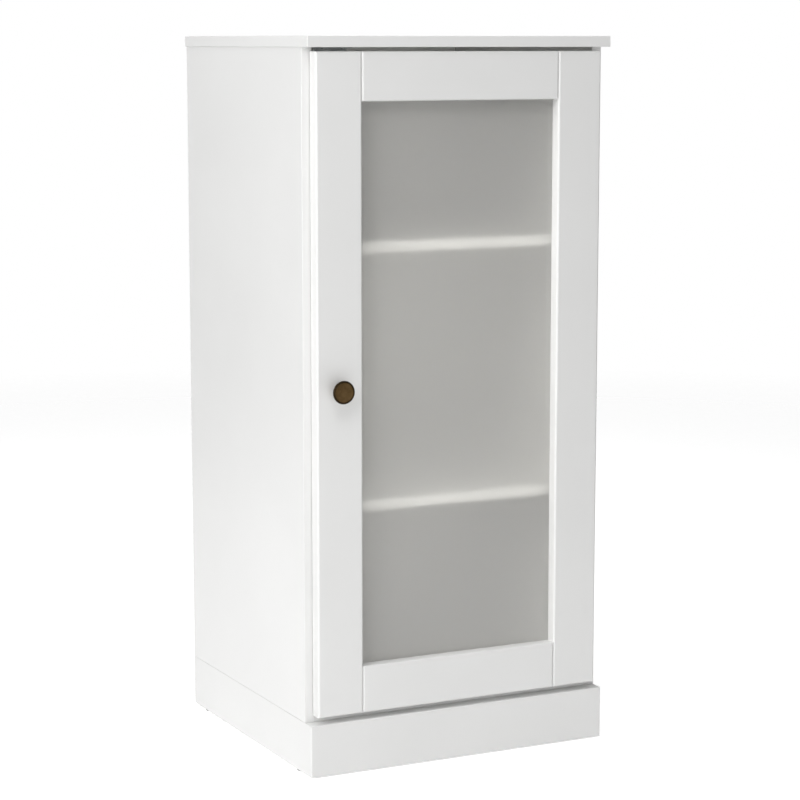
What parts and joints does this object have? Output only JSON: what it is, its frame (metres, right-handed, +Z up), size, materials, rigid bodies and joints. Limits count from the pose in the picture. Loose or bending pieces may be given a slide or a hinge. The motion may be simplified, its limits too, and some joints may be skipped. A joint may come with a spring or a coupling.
{
  "type": "storage cabinet",
  "caption": "Low white cabinet on a plinth, with a frosted glass shaker door on concealed hinges, a round knob and loose shelves inside.",
  "frame": {"origin": "on the floor, under the middle of the cabinet's bounding box, knob included", "axes": "+Z up, the door and knob face -Y, +X to the right of someone facing the door, where the hinges are"},
  "size_m": [0.4, 0.394, 0.87],
  "materials": {
    "white_lacquer": "satin white lacquer on fibreboard",
    "white_hardboard": "matt white-faced hardboard",
    "raw_wood": "bare",
    "frosted_glass": "acid-etched on the inner face",
    "antique_bronze": "antiqued, satin",
    "black_plastic": "moulded",
    "clear_plastic": "moulded, milky",
    "clear_rubber": "soft, clear",
    "nickel_steel": "nickel-plated",
    "zinc": "zinc-plated"
  },
  "bodies": {
    "cabinet": {"back_panel": "white_hardboard", "back_panel_nails": "zinc", "bottom_panel": "white_lacquer", "carcass_dowels": "raw_wood", "glides": "black_plastic", "hinge_arm_screws": "nickel_steel", "hinge_plate_screws": "nickel_steel", "left_side_panel": "white_lacquer", "lower_cam_bolts": "zinc", "lower_cam_locks": "zinc", "lower_hinge_arm": "nickel_steel", "lower_hinge_plate": "nickel_steel", "lower_shelf": "white_lacquer", "lower_shelf_pins": "nickel_steel", "plinth_back_board": "white_lacquer", "plinth_corner_blocks": "raw_wood", "plinth_front_board": "white_lacquer", "plinth_left_board": "white_lacquer", "plinth_right_board": "white_lacquer", "plinth_screws": "zinc", "right_side_panel": "white_lacquer", "top_board": "white_lacquer", "upper_cam_bolts": "zinc", "upper_cam_locks": "zinc", "upper_hinge_arm": "nickel_steel", "upper_hinge_plate": "nickel_steel", "upper_shelf": "white_lacquer", "upper_shelf_pins": "nickel_steel", "wall_bracket": "zinc", "wall_bracket_screws": "zinc"},
    "door": {"door_left_stile": "white_lacquer", "door_right_stile": "white_lacquer", "door_top_rail": "white_lacquer", "door_bottom_rail": "white_lacquer", "door_dowels": "raw_wood", "frosted_glass": "frosted_glass", "glass_clips": "clear_plastic", "glass_clip_screws": "zinc", "knob": "antique_bronze", "knob_screw": "zinc", "door_bumpers": "clear_rubber", "upper_hinge_cup": "nickel_steel", "lower_hinge_cup": "nickel_steel", "hinge_cup_screws": "nickel_steel"},
    "hinge_links": {"upper_hinge_link": "nickel_steel", "lower_hinge_link": "nickel_steel"}
  },
  "joints": [
    {"name": "door_swing", "type": "hinge", "parent": "cabinet", "child": "door", "pos_m": [0.185, -0.1667, 0.4624], "axis": [0, 0, 1], "range_deg": [0, 95]},
    {"name": "hinge_link_turn", "type": "hinge", "parent": "cabinet", "child": "hinge_links", "pos_m": [0.1816, -0.1703, 0.4624], "axis": [0, 0, 1], "range_deg": [0, 113.2]}
  ],
  "couplings": [
    {"joint": "hinge_link_turn", "follows": "door_swing", "ratio": 1.19}
  ]
}
